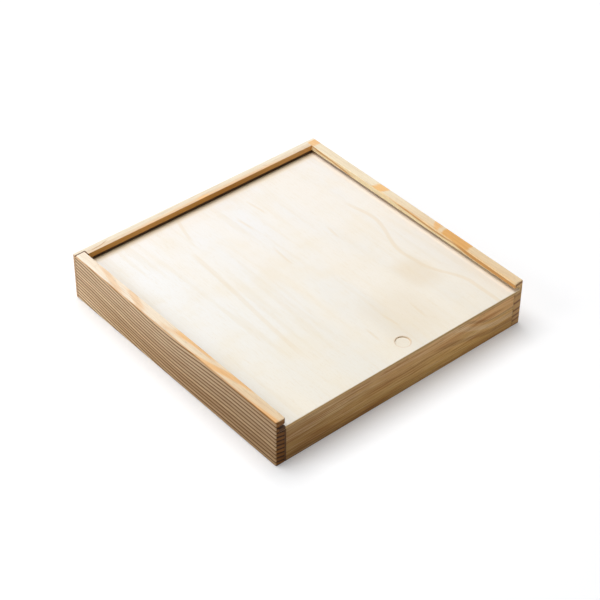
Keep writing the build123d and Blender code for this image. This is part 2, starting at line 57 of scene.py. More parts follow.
class Finish:
    """A finish being mixed: each call adds one shader node and gives back its output."""

    def __init__(self, name, roughness, specular=0.5, coat=0.0):
        self.material = bpy.data.materials.new(name)
        self.material.use_nodes = True
        self.tree = self.material.node_tree
        self.surface = self.tree.nodes["Principled BSDF"]
        self.surface.inputs["Roughness"].default_value = roughness
        self.surface.inputs["Specular IOR Level"].default_value = specular
        self.surface.inputs["Coat Weight"].default_value = coat
        self.surface.inputs["Coat Roughness"].default_value = 0.12
        metres = self.add("TexCoord", out="Object")
        self.point = self.add("VectorMath", metres, operation="SCALE", Scale=MM)
        self.x, self.y, self.z = self.split(self.point)
        self.facing = self.split(self.add("NewGeometry", out="Normal"))

    def add(self, kind, *inputs, out=0, **settings):
        node = self.tree.nodes.new("ShaderNode" + kind)
        for name, value in settings.items():
            if name in node.inputs:
                self.join(value, node.inputs[name])
            else:
                setattr(node, name, value)
        for socket, value in zip(node.inputs, inputs):
            if value is not None:
                self.join(value, socket)
        return node.outputs[out]

    def join(self, value, socket):
        if isinstance(value, bpy.types.NodeSocket):
            self.tree.links.new(value, socket)
        else:
            socket.default_value = value

    def split(self, vector):
        node = self.tree.nodes.new("ShaderNodeSeparateXYZ")
        self.tree.links.new(vector, node.inputs[0])
        return node.outputs[0], node.outputs[1], node.outputs[2]

    def sum(self, a, b):
        return self.add("Math", a, b, operation="ADD")

    def less(self, a, b):
        return self.add("Math", a, b, operation="SUBTRACT")

    def times(self, a, b):
        return self.add("Math", a, b, operation="MULTIPLY")

    def over(self, a, b):
        return self.add("Math", a, b, operation="DIVIDE")

    def size(self, a):
        return self.add("Math", a, operation="ABSOLUTE")

    def most(self, a, b):
        return self.add("Math", a, b, operation="MAXIMUM")

    def least(self, a, b):
        return self.add("Math", a, b, operation="MINIMUM")

    def part(self, a):
        return self.add("Math", a, operation="FRACT")

    def whole(self, a):
        return self.add("Math", a, operation="FLOOR")

    def below(self, a, limit):
        return self.add("Math", a, limit, operation="LESS_THAN")

    def above(self, a, limit):
        return self.add("Math", a, limit, operation="GREATER_THAN")

    def ease(self, value, start, end, low=0.0, high=1.0):
        """Smooth step of a value from start to end, between two levels."""
        return self.add("MapRange", value, start, end, low, high, interpolation_type="SMOOTHSTEP")

    def slide(self, value, start, end, low=0.0, high=1.0):
        """Straight step of a value from start to end, between two levels."""
        return self.add("MapRange", value, start, end, low, high)

    def follow(self, value, stops):
        """Smooth path of levels along a value, through stops of place and level."""
        (start, level), *rest = stops
        path = level
        for place, next_level in rest:
            path = self.sum(self.ease(value, start, place, 0.0, next_level - level), path)
            start, level = place, next_level
        return path

    def stroke(self, along, across, stops, width, fade):
        """Share of a soft band along a path, which fades in and out at its two ends."""
        first, last = stops[0][0], stops[-1][0]
        fade = fade if last > first else -fade
        off = self.size(self.less(across, self.follow(along, stops)))
        begun = self.ease(along, first, first + fade)
        not_over = self.ease(along, last, last - fade)
        return self.times(self.ease(off, width, 0.4 * width), self.times(begun, not_over))

    def cloud(self, steps, detail=2.0, rough=0.5, shift=0.0):
        """Noise with one step length in millimetres along each axis."""
        scale = tuple(1 / step for step in steps)
        place = self.add("VectorMath", self.point, scale, operation="MULTIPLY")
        place = self.add("VectorMath", place, (shift, 1.7 * shift, 2.3 * shift), operation="ADD")
        return self.add("TexNoise", place, Scale=1.0, Detail=detail, Roughness=rough)

    def ramp(self, value, stops):
        """Colour picked along a value by stops of place and colour."""
        node = self.tree.nodes.new("ShaderNodeValToRGB")
        self.tree.links.new(value, node.inputs[0])
        marks = node.color_ramp.elements
        for place, colour in stops[2:]:
            marks.new(place)
        for mark, (place, colour) in zip(marks, sorted(stops)):
            mark.position = place
            mark.color = colour
        return node.outputs[0]

    def mix(self, share, a, b, way="MIX"):
        node = self.tree.nodes.new("ShaderNodeMix")
        node.data_type = "RGBA"
        node.blend_type = way
        self.join(share, node.inputs[0])
        self.join(a, node.inputs[6])
        self.join(b, node.inputs[7])
        return node.outputs[2]

    def colour(self, value):
        self.join(value, self.surface.inputs["Base Color"])

    def base(self):
        """Colour given so far."""
        return self.surface.inputs["Base Color"].links[0].from_socket

    def sheen(self, value):
        self.join(value, self.surface.inputs["Roughness"])

    def relief(self, height, depth):
        """Bump of a given depth in millimetres."""
        bump = self.add("Bump", Strength=1.0, Distance=depth / MM, Height=height)
        self.join(bump, self.surface.inputs["Normal"])


ALONG_X = (1, 0, 0)
ALONG_Y = (0, 1, 0)
BLACK = (0.0, 0.0, 0.0, 1.0)
WHITE = (1.0, 1.0, 1.0, 1.0)
FLECK = tint("a98558")
PLY_LAYERS = 3
PLY_GLUE = tint("5a422b")


def fibres(finish, grain, length, width, shift, detail=3.0):
    """Streaks that run with the grain, long one way and fine the other."""
    steps = tuple(length if axis else width for axis in grain)
    return finish.cloud(steps, detail=detail, rough=0.6, shift=shift)


def dress(node, finish):
    """Gives a CAD node its finish."""
    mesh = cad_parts[node].data
    mesh.materials.clear()
    mesh.materials.append(finish.material)


def birch_ply(node, name, pale, warm, shift):
    """Rotary-cut birch: pale face with faint flowing lines and darker layered edges."""
    low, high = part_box(node)
    grain = ALONG_X
    finish = Finish(name, 0.55, specular=0.35)
    broad = fibres(finish, grain, 160.0, 24.0, shift, detail=2.0)
    fine = fibres(finish, grain, 9.0, 0.55, shift + 3.0)
    flecks = fibres(finish, grain, 3.2, 0.35, shift + 7.0, detail=1.0)
    flow = finish.cloud((70.0, 70.0, 70.0), detail=1.0, shift=shift)
    line = finish.part(finish.sum(finish.over(finish.y, 31.0), finish.times(flow, 1.7)))
    figure = finish.ramp(line, [
        (0.0, BLACK), (0.9, (0.15, 0.15, 0.15, 1.0)), (0.97, WHITE), (1.0, BLACK)])
    tone = finish.mix(finish.ease(broad, 0.35, 0.7), pale, warm)
    tone = finish.mix(finish.times(figure, 0.25), tone, warm)
    tone = finish.mix(finish.ease(fine, 0.5, 0.75, 0.0, 0.22), tone, warm)
    tone = finish.mix(finish.ease(flecks, 0.66, 0.8, 0.0, 0.35), tone, FLECK)
    level = finish.times(finish.slide(finish.z, low.z * MM, high.z * MM), PLY_LAYERS)
    layer = finish.ramp(finish.part(finish.times(level, 0.5)), [
        (0.0, tint("c9a878")), (0.47, tint("c4a070")), (0.5, PLY_GLUE),
        (0.53, tint("dcc39a")), (0.97, tint("d8bd92")), (1.0, PLY_GLUE)])
    layer = finish.mix(finish.ease(flecks, 0.5, 0.8, 0.0, 0.5), layer, tint("8a6a44"))
    on_edge = finish.below(finish.size(finish.facing[2]), 0.4)
    finish.colour(finish.mix(on_edge, tone, layer))
    finish.sheen(finish.slide(fine, 0.3, 0.8, 0.5, 0.62))
    finish.relief(finish.sum(fine, flecks), 0.035)
    return finish


dress("base_panel", birch_ply(
    "base_panel", "base_birch_ply", tint("e6d4b2"), tint("d3b78a"), shift=21.0))


# Side walls: planed pine, ten and a half millimetres thick, grooved on the inside for
# the lid and the base and eased at the arrises. Their ends show the growth rings, which
# run on along the faces as lines. Glued at all four corners.
PINE_HONEY = tint("e5b97c")
PINE_LATE = tint("b98a58")
PORE = tint("6d4828")
JOINT = tint("5a371b")
# Painted shade colour for the inside of the lid's groove.
GROOVE_SHADE = tint("4a3016")
INNER_EDGE, GROOVE_LOW, GROOVE_HIGH = 139.5, 39.35, 46.7
YEAR_SPREAD = 0.3


def ring_bands(finish, distance, pitch, early, late, sharp=0.86):
    """Growth rings: pale early wood that darkens to a late line, then starts again."""
    turn = finish.over(distance, pitch)
    bands = finish.ramp(finish.part(turn), [
        (0.0, early), (0.45, early), (sharp, late), (0.95, late), (1.0, early)])
    year = finish.add("TexWhiteNoise", noise_dimensions="1D", W=finish.whole(turn))
    return finish.mix(finish.times(year, YEAR_SPREAD), bands, late)


def plane_finish(finish, grain, tone, shift, strength=1.0):
    """Fine marks of planed pine over a tone: fibres, resin dashes, a slow drift of colour."""
    drift = fibres(finish, grain, 130.0, 16.0, shift, detail=2.0)
    fine = fibres(finish, grain, 26.0, 0.7, shift + 2.0)
    dashes = fibres(finish, grain, 7.0, 0.4, shift + 5.0, detail=1.0)
    warmer = finish.ease(drift, 0.3, 0.75, 0.0, 0.3 * strength)
    lined = finish.ease(fine, 0.42, 0.7, 0.0, 0.42 * strength)
    dashed = finish.ease(dashes, 0.64, 0.74, 0.0, 0.5 * strength)
    tone = finish.mix(warmer, tone, PINE_HONEY, "MULTIPLY")
    tone = finish.mix(lined, tone, PINE_LATE, "MULTIPLY")
    tone = finish.mix(dashed, tone, PORE)
    finish.sheen(finish.slide(fine, 0.3, 0.8, 0.42, 0.6))
    finish.relief(finish.sum(fine, finish.times(dashes, -0.6)), 0.05)
    return tone


def strokes(finish, along, across, tone, marks, colour):
    """Bands of grain laid over a tone: each has a width, a strength, a fade and its path."""
    for width, strength, fade, path in marks:
        share = finish.stroke(along, across, path, width, fade)
        tone = finish.mix(finish.times(share, strength), tone, colour)
    return tone


def end_share(finish, axis):
    """One where the surface faces along the grain, so that the cut ends show."""
    return finish.ease(finish.size(finish.facing[axis]), 0.7, 0.95)


def top_share(finish):
    return finish.ease(finish.facing[2], 0.55, 0.9)


def groove_shade_share(finish, inward):
    """One inside the lid's groove, which is painted dark as shade."""
    level = finish.times(finish.above(finish.z, GROOVE_LOW), finish.below(finish.z, GROOVE_HIGH))
    past_edge = finish.above(inward, INNER_EDGE + 0.1)
    before_face = finish.below(inward, INNER_EDGE + 8.0)
    return finish.times(level, finish.times(past_edge, before_face))


def lip_share(finish, axis):
    """One on a wall's inner face, from the lid's groove up."""
    return finish.times(finish.below(finish.facing[axis], 0.0), finish.above(finish.z, GROOVE_LOW))


pine = Finish("left_wall_pine", 0.55, specular=0.08)
squeeze = pine.ease(pine.y, -120.0, 60.0, 1.0, 0.82)
rise = pine.ease(pine.y, -30.0, 190.0, 0.0, 17.0)
depth = pine.sum(pine.x, 151.0)
wobble = pine.times(pine.cloud((70.0, 70.0, 14.0), detail=2.0, shift=4.0), 3.0)
bowed = pine.sum(pine.times(pine.times(depth, depth), 0.036), wobble)
ring = pine.less(pine.sum(pine.over(pine.less(pine.z, rise), squeeze), bowed), 2.6)
side_bands = ring_bands(pine, ring, 4.65, tint("f5ddb9"), tint("885d32"), sharp=0.8)
# Painted shade: the outer face is darkened towards the foot, most at the front end, and darkened
# again from the back towards the front end.
shade_toward_foot = pine.times(pine.ease(pine.z, 44.0, 8.0), pine.ease(pine.y, 150.0, 60.0, 0.2, 1.0))
side_bands = pine.mix(shade_toward_foot, side_bands, tint("e7decf"), "MULTIPLY")
shade_toward_front = pine.ease(pine.y, 130.0, -150.0, 0.0, 0.85)
side_bands = pine.mix(shade_toward_front, side_bands, tint("c8c0b4"), "MULTIPLY")
top_tone = pine.mix(pine.ease(pine.y, 110.0, -120.0), tint("f3e8d6"), tint("e4d0b0"))
honey_streaks = (
    (3.8, 0.45, 16.0, ((124, -139.5), (66, -149.0))),
    (4.6, 0.5, 12.0, ((80, -139.0), (36, -148.5))),
    (2.8, 0.35, 14.0, ((24, -147.0), (-26, -143.0))),
    (3.4, 0.85, 14.0, ((6, -142.0), (-60, -139.4))),
    (4.2, 0.85, 10.0, ((-20, -152.8), (-112, -138.6))),
    (4.8, 0.9, 16.0, ((-90, -153.5), (-170, -148.6))))
top_tone = strokes(pine, pine.y, pine.x, top_tone, honey_streaks, tint("e8bb82"))
arris = pine.times(pine.ease(pine.x, -148.8, -149.8), pine.ease(pine.z, 50.6, 51.8, 0.0, 0.6))
end_ring = pine.sum(pine.sum(pine.z, pine.times(wobble, 1.6)), pine.times(depth, 0.26))
end_bands = ring_bands(pine, end_ring, 4.9, tint("845623"), tint("361a06"), sharp=0.75)
end_bands = pine.mix(pine.ease(pine.z, 46.0, 48.5, 0.0, 0.4), end_bands, tint("b07a40"))
tone = pine.mix(top_share(pine), side_bands, top_tone)
tone = pine.mix(arris, tone, tint("d2985a"))
tone = plane_finish(pine, ALONG_Y, tone, 11.0, strength=0.55)
# Painted shade: the inside of the lid's groove, seen at the front end, is darkened.
tone = pine.mix(groove_shade_share(pine, pine.times(pine.x, -1.0)), tone, GROOVE_SHADE)
seam = pine.times(pine.ease(pine.y, 144.9, 145.3), pine.ease(pine.facing[2], 0.2, 0.6, 0.3, 1.0))
tone = pine.mix(seam, tone, JOINT)
pine.colour(pine.mix(end_share(pine, 1), tone, end_bands))
dress("left_side_wall", pine)

pine = Finish("right_wall_pine", 0.55, specular=0.2)
wobble = pine.times(pine.cloud((70.0, 70.0, 16.0), detail=2.0, shift=9.0), 3.0)
ring = pine.sum(pine.sum(pine.z, wobble), pine.ease(pine.y, 150.0, -60.0, 0.0, 20.0))
outer_bands = ring_bands(pine, ring, 8.7, tint("ddbd92"), tint("bb8a58"), sharp=0.8)
amber_streaks = (
    (1.5, 0.8, 20.0, ((150, 52.0), (120, 50.0), (70, 47.5))),
    (1.6, 0.8, 30.0, ((30, 53.0), (0, 51.5), (-40, 50.0), (-80, 50.5))),
    (2.9, 0.9, 24.0, ((-52, 53.0), (-96, 49.4), (-170, 48.6))))
# The inner face from the groove up, the groove's inside included, takes a near-white cream with
# amber streaks: partly pale sapwood, partly painted light that lifts the shade under the lip.
lip_tone = strokes(pine, pine.y, pine.z, tint("ffebbe"), amber_streaks, tint("d89a4c"))
outward = pine.slide(pine.x, INNER_EDGE, 150.0)
ragged = pine.times(pine.less(pine.cloud((7.0, 7.0, 5.0), detail=1.0, shift=51.0), 0.5), 7.0)
along = pine.sum(pine.y, ragged)
on_side = pine.ease(pine.z, 34.0, 52.0, 0.0, 0.6)


def past_line(finish, along, share, inner, outer):
    """One beyond a slanted line across a board, which starts and ends at two places."""
    line = finish.sum(finish.times(share, outer - inner), inner)
    return finish.ease(finish.less(along, line), -2.0, 2.0)


top_tone = pine.mix(pine.ease(pine.y, 60.0, -90.0), tint("eaddc2"), tint("e2cca8"))
honey_patches = (
    ((153.0, 153.0), (139.0, 137.0), 0.9, tint("eabd84")),
    ((50.0, 45.0), (37.0, 32.5), 0.95, tint("eabb7c")),
    ((-40.0, -31.0), (-45.0, -41.0), 0.85, tint("e8b878")),
    ((-49.0, -48.0), (-84.5, -84.5), 1.0, tint("ddaa66")))
for far, near, strength, colour in honey_patches:
    share = pine.less(past_line(pine, along, outward, *near),
                      past_line(pine, along, outward, *far))
    top_tone = pine.mix(pine.times(share, strength), top_tone, colour)
    outer_bands = pine.mix(pine.times(share, on_side), outer_bands, colour)
inner_line = pine.least(pine.ease(pine.x, 141.2, 139.8), pine.ease(pine.y, 60.0, 20.0))
top_tone = pine.mix(pine.times(inner_line, 0.6), top_tone, tint("e6b672"))
end_tone = pine.mix(pine.ease(pine.z, 46.0, 48.5), tint("c4975a"), tint("e0ba80"))
level = pine.sum(pine.z, pine.times(pine.less(pine.x, 145.0), -0.14))
end_rings = (
    (37.3, 0.5), (28.8, 1.0), (19.8, 1.0), (13.2, 0.95), (7.7, 0.95), (0.9, 0.7), (50.6, 0.9))
for height, strength in end_rings:
    line = pine.ease(pine.size(pine.less(level, height)), 1.9, 0.5)
    end_tone = pine.mix(pine.times(line, strength), end_tone, tint("84552f"))
side_bands = pine.mix(lip_share(pine, 0), outer_bands, lip_tone)
tone = pine.mix(top_share(pine), side_bands, top_tone)
tone = plane_finish(pine, ALONG_Y, tone, 17.0, strength=0.5)
speck = pine.ease(pine.cloud((0.6, 0.6, 0.6), detail=1.0), 0.45, 0.75, 0.0, 0.35)
end_tone = pine.mix(speck, end_tone, tint("a97b52"))
pine.colour(pine.mix(end_share(pine, 1), tone, end_tone))
dress("right_side_wall", pine)


# Back wall: the same pine, full width, rebated at both ends so that it laps over the
# ends of the side walls. Its ends show rings, and a dark line marks each glued joint.
pine = Finish("back_wall_pine", 0.55, specular=0.2)
wobble = pine.times(pine.cloud((80.0, 30.0, 18.0), detail=2.0, shift=14.0), 4.0)
ring = pine.sum(pine.sum(pine.z, wobble), pine.times(pine.y, 0.5))
outer_bands = ring_bands(pine, ring, 5.4, tint("e2c79d"), tint("c49560"))
# The inner face from the groove up takes a deep, saturated brown that darkens in places: partly the
# wood, partly painted shade on a face turned away from the light.
lip_tone = pine.ramp(pine.slide(pine.x, -140.0, 140.0), [
    (0.0, tint("c98f3c")), (0.25, tint("d1964a")), (0.45, tint("c88d3a")), (0.6, tint("ba7d2c")),
    (0.75, tint("c68d42")), (0.92, tint("dda55c"))])
side_bands = pine.mix(lip_share(pine, 1), outer_bands, lip_tone)
top_tone = pine.mix(pine.ease(pine.y, 147.5, 141.0), tint("ebe1cd"), tint("e4cfb2"))
brown_lines = (
    (0.9, 0.6, 8.0, ((-137, 142.6), (-125, 143.4), (-110, 146.4))),
    (0.7, 0.4, 3.0, ((77, 146.0), (84, 142.0))))
honey_streaks = (
    (1.6, 0.45, 30.0, ((-100, 140.8), (-20, 141.8), (60, 141.5), (110, 141.0))),
    (3.2, 0.8, 5.0, ((-9, 140.8), (0, 141.4), (9, 140.8))),
    (7.0, 0.9, 1.6, ((138.5, 141.5), (150, 141.5))))
top_tone = strokes(pine, pine.x, pine.y, top_tone, brown_lines, tint("b98a5c"))
top_tone = strokes(pine, pine.x, pine.y, top_tone, honey_streaks, tint("f6c98d"))
end_bands = ring_bands(pine, pine.z, 4.0, tint("d2ab82"), tint("a67d58"))
tone = pine.mix(top_share(pine), side_bands, top_tone)
tone = plane_finish(pine, ALONG_X, tone, 23.0, strength=0.5)
# Painted shade: the inside of the lid's groove under the back wall's lip is darkened.
tone = pine.mix(groove_shade_share(pine, pine.y), tone, GROOVE_SHADE)
seam = pine.times(pine.below(pine.x, 1.1 - INNER_EDGE), pine.below(pine.y, 146.2))
tone = pine.mix(seam, tone, JOINT)
pine.colour(pine.mix(end_share(pine, 0), tone, end_bands))
dress("back_wall", pine)


# Front wall: low pine board between the side walls, held by a tongue at each end.
# It is cut flat from the log, so its face shows a broad wave of grain to the right.
pine = Finish("front_wall_pine", 0.55, specular=0.2)
sway = pine.times(pine.less(pine.cloud((90.0, 40.0, 12.0), detail=2.0, shift=31.0), 0.5), 5.0)
height = pine.sum(pine.z, sway)
# Painted shade in part: the face's tone runs from dark brown at the foot to pale honey at the top,
# partly the board's own colour and partly shade near the table.
tone = pine.ramp(pine.slide(height, 0.0, 40.0), [
    (0.0, tint("c69c50")), (0.12, tint("e1b669")), (0.35, tint("eac276")), (0.62, tint("e6bd78")),
    (0.78, tint("edc07e")), (0.93, tint("f7cf92")), (1.0, tint("fad69d"))])
tone = pine.mix(pine.slide(pine.x, 110.0, -150.0), tone, tint("c3beb0"), "MULTIPLY")
tone = pine.mix(pine.ease(pine.x, -50.0, -145.0), tone, tint("eee9e0"), "MULTIPLY")
upper_edge = ((50, 46.0), (122, 24.6), (170, 26.6))
lower_edge = ((30, 27.5), (126, 9.8), (170, 10.6))
above_wave = pine.ease(pine.less(height, pine.follow(pine.x, upper_edge)), -0.5, 1.5)
above_wave = pine.times(above_wave, pine.ease(pine.x, 66.0, 84.0))
tone = pine.mix(pine.times(above_wave, 0.8), tone, tint("ecbe7c"))
pale_lines = (
    (3.8, 0.6, 16.0, ((36, 45.0), (124, 16.6), (170, 19.0))),
    (0.9, 0.5, 30.0, ((-140, 28.2), (-60, 28.6), (-10, 28.2))),
    (1.3, 0.35, 30.0, ((-120, 35.5), (0, 34.5), (40, 34.0))))
brown_lines = (
    (2.2, 0.46, 14.0, upper_edge), (3.6, 0.5, 26.0, lower_edge),
    (0.7, 0.6, 8.0, ((-72, 28.6), (-52, 28.4), (-38, 29.0))),
    (0.8, 0.5, 16.0, ((-34, 24.5), (0, 22.8), (40, 25.5))),
    (0.6, 0.6, 4.0, ((-66, 37.4), (-52, 37.0), (-40, 37.3))),
    (0.5, 0.7, 2.0, ((-26, 38.0), (-20, 37.6))),
    (0.6, 0.6, 3.0, ((-12, 38.2), (-2, 37.9), (6, 38.2))),
    (0.6, 0.6, 4.0, ((66, 38.3), (78, 37.6))), (0.5, 0.5, 3.0, ((42, 38.6), (50, 38.4))),
    (0.6, 0.5, 3.0, ((-58, 18.6), (-48, 18.3))), (0.6, 0.5, 3.0, ((-74, 16.4), (-66, 16.8))))
tone = strokes(pine, pine.x, height, tone, pale_lines, tint("f0d6aa"))
tone = strokes(pine, pine.x, height, tone, brown_lines, tint("a4733c"))
streaky = fibres(pine, ALONG_X, 40.0, 2.4, 41.0, detail=2.0)
tone = pine.mix(pine.ease(streaky, 0.42, 0.7, 0.0, 0.45), tone, tint("dcb98a"), "MULTIPLY")
threads = fibres(pine, ALONG_X, 60.0, 0.9, 43.0, detail=1.0)
tone = pine.mix(pine.ease(threads, 0.5, 0.66, 0.0, 0.55), tone, tint("c89f68"), "MULTIPLY")
tone = pine.mix(pine.ease(threads, 0.44, 0.3, 0.0, 0.4), tone, tint("f2d8ae"))
tone = plane_finish(pine, ALONG_X, tone, 37.0, strength=0.9)
left_seam = pine.ease(pine.x, 1.2 - INNER_EDGE, 0.5 - INNER_EDGE, 0.0, 0.7)
both_seams = pine.ease(pine.size(pine.x), INNER_EDGE - 0.7, INNER_EDGE - 0.3, 0.0, 0.5)
tone = pine.mix(left_seam, tone, JOINT)
pine.colour(pine.mix(both_seams, tone, JOINT))
dress("front_wall", pine)


# Dividers and partitions: four-millimetre pine, housed where they cross and glued to
# the base and the walls. They part the boards, the men, the cards and the small games.
divider_nodes = {
    "left_divider": ALONG_Y, "right_divider": ALONG_Y,
    "front_divider": ALONG_X, "stick_divider": ALONG_X,
    "left_channel_partition": ALONG_X, "right_channel_partition": ALONG_X,
    "domino_partition": ALONG_Y, "dice_partition": ALONG_Y}
for place, (node, grain_way) in enumerate(divider_nodes.items()):
    pine = Finish(node + "_pine", 0.55, specular=0.35)
    wobble = pine.times(pine.cloud((90.0, 90.0, 14.0), detail=2.0, shift=3.0 * place), 6.0)
    pitch = 3.4 + 0.4 * (place % 3)
    bands = ring_bands(pine, pine.sum(pine.z, wobble), pitch, tint("ead6b0"), tint("cda06a"))
    tone = plane_finish(pine, grain_way, bands, 41.0 + 6.0 * place, strength=0.7)
    pores = pine.ease(pine.cloud((0.5, 0.5, 0.5)), 0.4, 0.7)
    ends = pine.mix(pores, tint("b08c62"), tint("8a6643"))
    pine.colour(pine.mix(end_share(pine, grain_way.index(1)), tone, ends))
    dress(node, pine)


# Playing boards: birch plywood, four millimetres, rounded at the corners and printed on
# the upper face with the traditional boards. They lie loose in a stack in the middle bay.
INK = tint("2f221a")
board_low, board_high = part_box("chess_board")
board_middle = (board_low.y + board_high.y) / 2 * MM


def board_finish(name):
    """Bare birch board, with its own middle as the origin of the print."""
    finish = birch_ply(
        name, name + "_birch", tint("ead9b6"), tint("dcc090"), shift=len(name) * 3.0)
    return finish, finish.base(), finish.x, finish.less(finish.y, board_middle)


def frame_line(finish, across, along, reach, width):
    """Share of ink on a square line at a given reach from the middle."""
    outward = finish.most(finish.size(across), finish.size(along))
    return finish.below(finish.size(finish.less(outward, reach)), width / 2)


def print_on(finish, bare, share, ink):
    """Ink laid on the upper face only, a little broken by the grain below."""
    upper = finish.above(finish.facing[2], 0.9)
    worn = finish.ease(fibres(finish, ALONG_X, 6.0, 0.5, 77.0), 0.25, 0.5, 0.82, 1.0)
    return finish.mix(finish.times(finish.times(share, upper), worn), bare, ink)


board, bare, across, along = board_finish("chess_board")
square = 21.0
field = 4 * square
column = board.whole(board.over(across, square))
row = board.whole(board.over(along, square))
odd = board.above(board.part(board.times(board.sum(column, row), 0.5)), 0.25)
inside = board.below(board.most(board.size(across), board.size(along)), field)
tone = print_on(board, bare, board.times(odd, inside), tint("6b4429"))
for gap, width in ((0.6, 1.2), (3.2, 0.6)):
    tone = print_on(board, tone, frame_line(board, across, along, field + gap, width), INK)
board.colour(tone)
dress("chess_board", board)

board, bare, across, along = board_finish("nine_mens_morris_board")
tone = bare
line_width, ring_step, ring_inset = 1.4, 27.0, 1.0
inner_ring, outer_ring = ring_step - ring_inset, 3 * ring_step - ring_inset
for ring in (1, 2, 3):
    reach = ring * ring_step - ring_inset
    tone = print_on(board, tone, frame_line(board, across, along, reach, line_width), INK)
outward = board.most(board.size(across), board.size(along))
spoke = board.least(board.size(across), board.size(along))
ringed = board.times(board.above(outward, inner_ring), board.below(outward, outer_ring))
tone = print_on(board, tone, board.times(board.below(spoke, line_width / 2), ringed), INK)
nearest = board.times(board.whole(board.sum(board.over(outward, ring_step), 0.5)), ring_step)
nearest = board.less(nearest, ring_inset)
aside = board.least(spoke, board.size(board.less(spoke, nearest)))
off_line = board.size(board.less(outward, nearest))
spot = board.sum(board.times(aside, aside), board.times(off_line, off_line))
spot = board.times(board.below(spot, 5.3), board.above(outward, 20.0))
board.colour(print_on(board, tone, spot, INK))
dress("nine_mens_morris_board", board)

board, bare, across, along = board_finish("backgammon_board")
point_width, point_length, bar, field = 13.0, 72.0, 6.0, 84.0
lane = board.over(board.less(board.size(across), bar), point_width)
spread = board.times(board.size(board.less(board.part(lane), 0.5)), 2.0)
taper = board.over(board.less(board.size(along), field - point_length), point_length)
in_length = board.below(board.size(along), field)
in_lanes = board.times(board.above(lane, 0.0), board.below(lane, 6.0))
point = board.times(board.below(spread, taper), board.times(in_lanes, in_length))
odd = board.above(board.part(board.times(board.whole(lane), 0.5)), 0.25)
tone = print_on(board, bare, board.times(point, odd), tint("7d2a1f"))
tone = print_on(board, tone, board.times(point, board.less(1.0, odd)), INK)
tone = print_on(board, tone, frame_line(board, across, along, field + 1.0, 1.2), INK)
bar_line = board.below(board.size(board.less(board.size(across), bar - 0.6)), 0.5)
board.colour(print_on(board, tone, board.times(bar_line, in_length), INK))
dress("backgammon_board", board)

LUDO_COLOURS = {
    "red": tint("b3261e"), "yellow": tint("e0a91b"),
    "green": tint("2f7d3b"), "blue": tint("1f4f94")}
board, bare, across, along = board_finish("ludo_board")
cell, arm, edge = 12.0, 18.0, 90.0
yard_middle, home_radius = 54.0, 22.0
outward = board.most(board.size(across), board.size(along))
inward = board.least(board.size(across), board.size(along))
tone = bare
yard = board.times(board.above(inward, arm), board.below(outward, edge))
ring_x = board.less(board.size(across), yard_middle)
ring_y = board.less(board.size(along), yard_middle)
home_ring = board.sum(board.times(ring_x, ring_x), board.times(ring_y, ring_y))
yard = board.times(yard, board.above(home_ring, home_radius ** 2))
home_lane = board.times(board.below(inward, cell / 2), board.below(outward, edge - cell))
corners = (
    ("red", (-1, 1), (-1, 0)), ("green", (1, 1), (0, 1)),
    ("yellow", (1, -1), (1, 0)), ("blue", (-1, -1), (0, -1)))
for colour, side, lead in corners:
    ink = LUDO_COLOURS[colour]
    side_x = board.above(board.times(across, side[0]), 0.0)
    side_y = board.above(board.times(along, side[1]), 0.0)
    tone = print_on(board, tone, board.times(board.times(side_x, side_y), yard), ink)
    reach = board.sum(board.times(across, lead[0]), board.times(along, lead[1]))
    leads = board.above(reach, board.less(outward, 0.01))
    tone = print_on(board, tone, board.times(leads, home_lane), ink)
    tone = print_on(board, tone, board.times(leads, board.below(outward, arm)), ink)
grid_x = board.size(board.less(board.part(board.sum(board.over(across, cell), 0.5)), 0.5))
grid_y = board.size(board.less(board.part(board.sum(board.over(along, cell), 0.5)), 0.5))
on_grid = board.above(board.most(grid_x, grid_y), 0.47)
on_arms = board.times(board.below(outward, edge), board.above(outward, arm))
on_arms = board.times(board.below(inward, arm), on_arms)
tone = print_on(board, tone, board.times(on_grid, on_arms), INK)
board.colour(print_on(board, tone, frame_line(board, across, along, edge, 0.9), INK))
dress("ludo_board", board)


# Chessmen and draughtsmen: turned in one piece, the light side in boxwood and the dark
# side stained, then waxed. The lathe leaves fine rings across the grain.
def turned_wood(name, early, late, pore, shift):
    """Fine close wood off the lathe, waxed, with the tool's faint rings across it."""
    finish = Finish(name, 0.32, specular=0.5, coat=0.15)
    streak = fibres(finish, ALONG_X, 14.0, 0.8, shift)
    broad = finish.cloud((30.0, 5.0, 5.0), detail=2.0, shift=shift + 4.0)
    pores = fibres(finish, ALONG_X, 3.0, 0.3, shift + 9.0)
    across_lathe = finish.add("VectorMath", finish.point, (5.0, 0.15, 0.15), operation="MULTIPLY")
    marks = finish.add("TexNoise", across_lathe, Scale=1.0, Detail=1.0)
    tone = finish.mix(finish.ease(broad, 0.3, 0.7), early, late)
    tone = finish.mix(finish.ease(streak, 0.45, 0.75, 0.0, 0.6), tone, late)
    finish.colour(finish.mix(finish.ease(pores, 0.66, 0.78, 0.0, 0.6), tone, pore))
    finish.sheen(finish.slide(marks, 0.3, 0.7, 0.26, 0.42))
    finish.relief(finish.sum(marks, streak), 0.04)
    return finish


boxwood = turned_wood("boxwood", tint("e6c58c"), tint("cf9f5c"), tint("9a6f3c"), 51.0)
stained_wood = turned_wood("stained_wood", tint("50301c"), tint("2e1a10"), tint("160c07"), 57.0)
for man in ("king", "queen", "bishops", "knights", "rooks", "pawns", "draughtsmen"):
    dress("light_" + man, boxwood)
    dress("dark_" + man, stained_wood)


